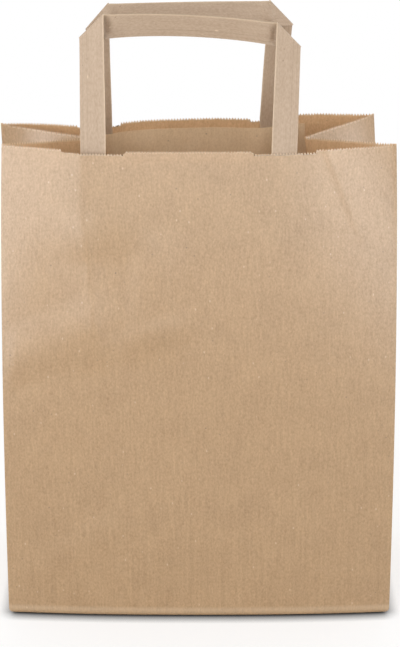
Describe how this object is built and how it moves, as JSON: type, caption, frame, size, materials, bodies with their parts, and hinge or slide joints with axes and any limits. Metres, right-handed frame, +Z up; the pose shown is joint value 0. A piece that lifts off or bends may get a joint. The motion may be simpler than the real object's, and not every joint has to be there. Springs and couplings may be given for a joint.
{
  "type": "paper carrier bag",
  "caption": "Brown kraft paper carrier bag standing open, with a block bottom, folded side gussets, a serrated rim, flat folded paper handles and glued inner patches.",
  "frame": {"origin": "middle of the base, on the surface that the bag stands on", "axes": "+Z up towards the mouth; the front panel faces -Y; +X runs across the panels, to the right as seen from the front"},
  "size_m": [0.2231, 0.1183, 0.3438],
  "materials": {
    "kraft_paper": "machine-finished brown kraft paper, matt, with faint vertical machine lines and dark specks",
    "handle_paper": "folded brown kraft strap, matt, slightly paler than the body",
    "patch_paper": "brown kraft paper, matt"
  },
  "bodies": {
    "root": {"bag_body": "kraft_paper", "front_handle": "handle_paper", "back_handle": "handle_paper", "front_patch": "patch_paper", "back_patch": "patch_paper"}
  },
  "joints": []
}
